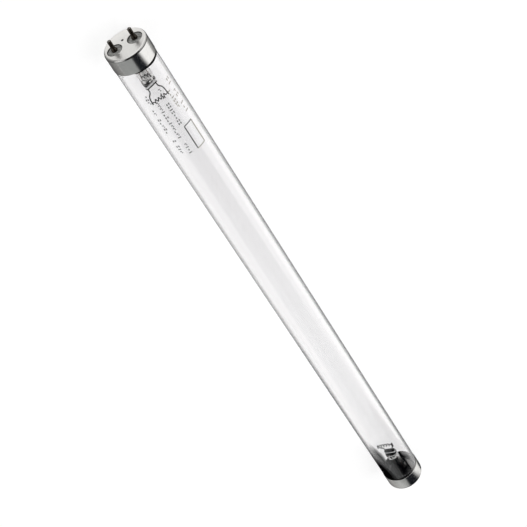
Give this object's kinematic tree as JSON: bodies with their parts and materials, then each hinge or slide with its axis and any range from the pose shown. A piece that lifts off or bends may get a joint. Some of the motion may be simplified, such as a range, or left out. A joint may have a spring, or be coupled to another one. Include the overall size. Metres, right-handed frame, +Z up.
{
  "type": "germicidal lamp tube",
  "caption": "Straight clear-glass low-pressure ultraviolet lamp tube with an aluminium two-pin cap, stem and coiled electrode at each end.",
  "frame": {"origin": "on the ground under the middle of the tube, which lies on its side", "axes": "+X along the tube from end a to end b, +Y along the line through the two pins of an end, +Z up"},
  "size_m": [0.4516, 0.0258, 0.0258],
  "materials": {
    "clear_glass": "clear drawn soft glass",
    "cap_aluminium": "drawn satin aluminium",
    "insulating_board": "dark grey moulded board",
    "pin_brass": "dull plated, darkened with use",
    "basing_cement": "baked dark cement",
    "stem_glass": "grey-green lead glass",
    "lead_copper": "bare copper wire",
    "support_nickel": "dark nickel-plated wire",
    "coated_coil": "coiled tungsten with a grey coating",
    "mercury": "liquid metal drop"
  },
  "bodies": {
    "root": {"glass_tube": "clear_glass", "cap_a": "cap_aluminium", "cap_b": "cap_aluminium", "insulator_a": "insulating_board", "insulator_b": "insulating_board", "pin_a1": "pin_brass", "pin_a2": "pin_brass", "pin_b1": "pin_brass", "pin_b2": "pin_brass", "cement_a": "basing_cement", "cement_b": "basing_cement", "stem_a": "stem_glass", "stem_b": "stem_glass", "exhaust_tube_a": "stem_glass", "exhaust_tube_b": "stem_glass", "outer_lead_a1": "lead_copper", "outer_lead_a2": "lead_copper", "outer_lead_b1": "lead_copper", "outer_lead_b2": "lead_copper", "support_wire_a1": "support_nickel", "support_wire_a2": "support_nickel", "support_wire_b1": "support_nickel", "support_wire_b2": "support_nickel", "filament_a": "coated_coil", "filament_b": "coated_coil", "mercury_drop": "mercury"}
  },
  "joints": []
}
